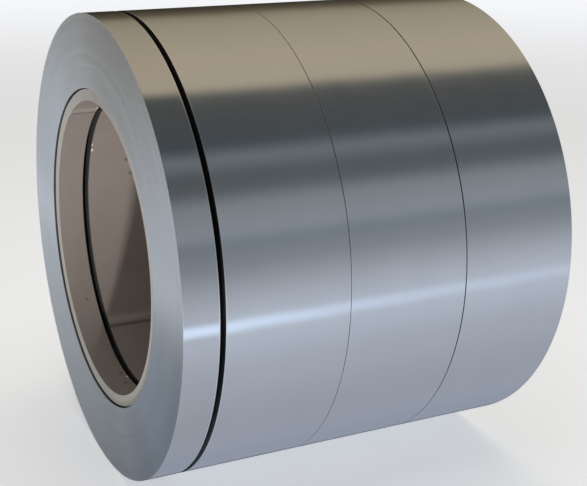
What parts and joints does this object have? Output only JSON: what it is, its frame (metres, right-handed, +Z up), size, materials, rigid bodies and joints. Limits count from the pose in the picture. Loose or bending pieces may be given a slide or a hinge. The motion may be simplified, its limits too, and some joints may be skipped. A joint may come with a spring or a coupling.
{
  "type": "steel coil",
  "caption": "Slit steel strip wound into coils on fibre cores, lying side by side on one axis with an open gap and a through bore.",
  "frame": {"origin": "on the floor under the middle of the row of coils", "axes": "+X along the coils' axis from the narrow coil to the wide ones, +Z up"},
  "size_m": [0.6896, 0.8, 0.8],
  "materials": {
    "strip_steel": "bright cold rolled, smooth",
    "core_board": "wound kraft board, matt"
  },
  "bodies": {
    "root": {"narrow_coil": "strip_steel", "wide_coil_1": "strip_steel", "wide_coil_2": "strip_steel", "wide_coil_3": "strip_steel", "narrow_core": "core_board", "wide_core_1": "core_board", "wide_core_2": "core_board", "wide_core_3": "core_board"}
  },
  "joints": []
}
